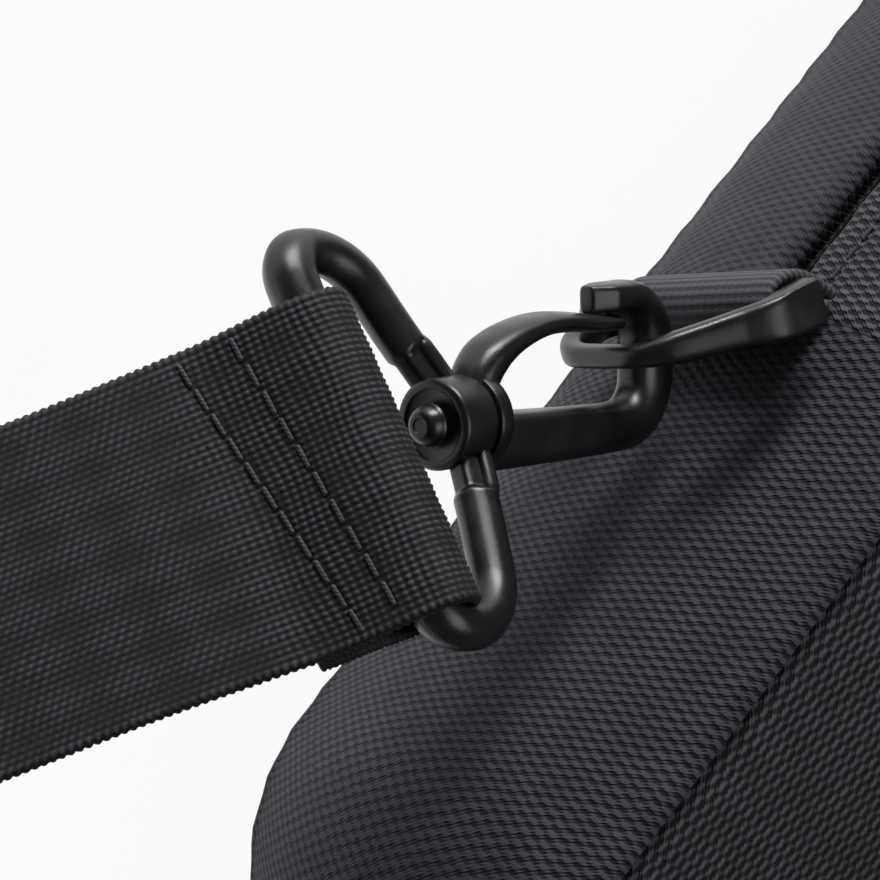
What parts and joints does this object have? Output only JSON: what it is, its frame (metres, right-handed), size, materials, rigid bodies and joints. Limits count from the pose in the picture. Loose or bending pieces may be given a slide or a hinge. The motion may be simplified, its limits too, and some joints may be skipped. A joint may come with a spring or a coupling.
{
  "type": "drum stick bag",
  "caption": "Padded zip-round bag for drum sticks, with stick sleeves, a front pocket, a grab handle and a clip-on webbing shoulder strap with swivel snap hooks.",
  "frame": {"origin": "centre of the back panel's outer face, which the bag lies on", "axes": "+X along the sticks towards the end where the strap is clipped, +Y towards the spine with the grab handle, +Z out of the front panel"},
  "size_m": [0.623, 0.3429, 0.082],
  "materials": {
    "bag_fabric": "knitted padded mesh fabric, matte",
    "lining": "plain woven lining, matte",
    "webbing": "woven polypropylene webbing, matte",
    "acetal": "moulded acetal, satin with a fine grain",
    "zip_coil": "nylon coil",
    "zip_metal": "black coated zinc",
    "pull_plastic": "moulded soft plastic, matte"
  },
  "bodies": {
    "bag": {"back_shell": "bag_fabric", "zip_coil_lower": "zip_coil", "stick_sleeve_1": "lining", "stick_sleeve_2": "lining", "handle_anchor_1": "webbing", "handle_anchor_2": "webbing", "tab_a": "webbing", "tab_b": "webbing", "strap_webbing": "webbing", "hook_ring_a": "acetal"},
    "lid": {"lid_shell": "bag_fabric", "zip_coil_upper": "zip_coil", "front_pocket": "bag_fabric", "pocket_coil": "zip_coil"},
    "slider_1": {"zip_slider_1": "zip_metal"},
    "pull_1": {"zip_pull_1": "pull_plastic"},
    "slider_2": {"zip_slider_2": "zip_metal"},
    "pull_2": {"zip_pull_2": "pull_plastic"},
    "pocket_slider": {"pocket_slider": "zip_metal"},
    "pocket_pull": {"pocket_pull": "pull_plastic"},
    "handle": {"carry_handle": "webbing"},
    "ring_d_a": {"d_ring_a": "acetal"},
    "ring_d_b": {"d_ring_b": "acetal"},
    "hook_a": {"hook_a": "acetal", "swivel_pin_a": "acetal"},
    "gate_a": {"gate_a": "acetal"},
    "swivel_b": {"hook_ring_b": "acetal"},
    "hook_b": {"hook_b": "acetal", "swivel_pin_b": "acetal"},
    "gate_b": {"gate_b": "acetal"},
    "adjuster": {"tri_glide": "acetal"}
  },
  "joints": [
    {"name": "lid_hinge", "type": "hinge", "parent": "bag", "child": "lid", "pos_m": [0, 0.0225, 0.07], "axis": [-1, 0, 0], "range_deg": [0, 110]},
    {"name": "slider_1_slide", "type": "slide", "parent": "lid", "child": "slider_1", "axis": [1, 0, 0], "range_m": [0, 0.18]},
    {"name": "slider_2_slide", "type": "slide", "parent": "lid", "child": "slider_2", "axis": [-1, 0, 0], "range_m": [0, 0.18]},
    {"name": "pull_1_swing", "type": "hinge", "parent": "slider_1", "child": "pull_1", "pos_m": [0.008, -0.1355, 0.035], "axis": [-1, 0, 0], "range_deg": [0, 120]},
    {"name": "pull_2_swing", "type": "hinge", "parent": "slider_2", "child": "pull_2", "pos_m": [-0.008, -0.1355, 0.035], "axis": [-1, 0, 0], "range_deg": [0, 120]},
    {"name": "pocket_slide", "type": "slide", "parent": "lid", "child": "pocket_slider", "axis": [1, 0, 0], "range_m": [0, 0.25]},
    {"name": "pocket_pull_swing", "type": "hinge", "parent": "pocket_slider", "child": "pocket_pull", "pos_m": [-0.127, -0.0115, 0.0798], "axis": [-1, 0, 0], "range_deg": [0, 120]},
    {"name": "handle_swing", "type": "hinge", "parent": "bag", "child": "handle", "pos_m": [0, 0.1391, 0.035], "axis": [1, 0, 0], "range_deg": [0, 80]},
    {"name": "d_ring_a_turn", "type": "hinge", "parent": "bag", "child": "ring_d_a", "pos_m": [0.2493, 0.0294, 0.037], "axis": [0, -0.266, 0.964], "range_deg": [0, 2.5]},
    {"name": "d_ring_b_turn", "type": "hinge", "parent": "bag", "child": "ring_d_b", "pos_m": [-0.2503, 0.0243, 0.037], "axis": [0, 0, 1], "range_deg": [-70, 70]},
    {"name": "hook_a_swivel", "type": "hinge", "parent": "bag", "child": "hook_a", "pos_m": [0.2801, 0.0677, 0.0527], "axis": [-0.7299, -0.6006, -0.3264], "range_deg": [-5, 5]},
    {"name": "gate_a_flex", "type": "hinge", "parent": "hook_a", "child": "gate_a", "pos_m": [0.27565, 0.05863, 0.04901], "axis": [0.1771, 0.295, -0.9389], "range_deg": [0, 4], "stiffness_Nm_per_rad": 0.12},
    {"name": "ring_b_turn", "type": "hinge", "parent": "bag", "child": "swivel_b", "pos_m": [-0.285, 0.11426, 0.0265], "axis": [0, 0, 1], "range_deg": [-20, 20]},
    {"name": "hook_b_swivel", "type": "hinge", "parent": "swivel_b", "child": "hook_b", "pos_m": [-0.285, 0.10186, 0.0265], "axis": [0, -1, 0], "continuous": true},
    {"name": "gate_b_flex", "type": "hinge", "parent": "hook_b", "child": "gate_b", "pos_m": [-0.285, 0.09196, 0.0223], "axis": [-1, 0, 0], "range_deg": [0, 14], "stiffness_Nm_per_rad": 0.12},
    {"name": "adjuster_slide", "type": "slide", "parent": "bag", "child": "adjuster", "axis": [1, 0, 0], "range_m": [-0.05, 0.05]}
  ]
}
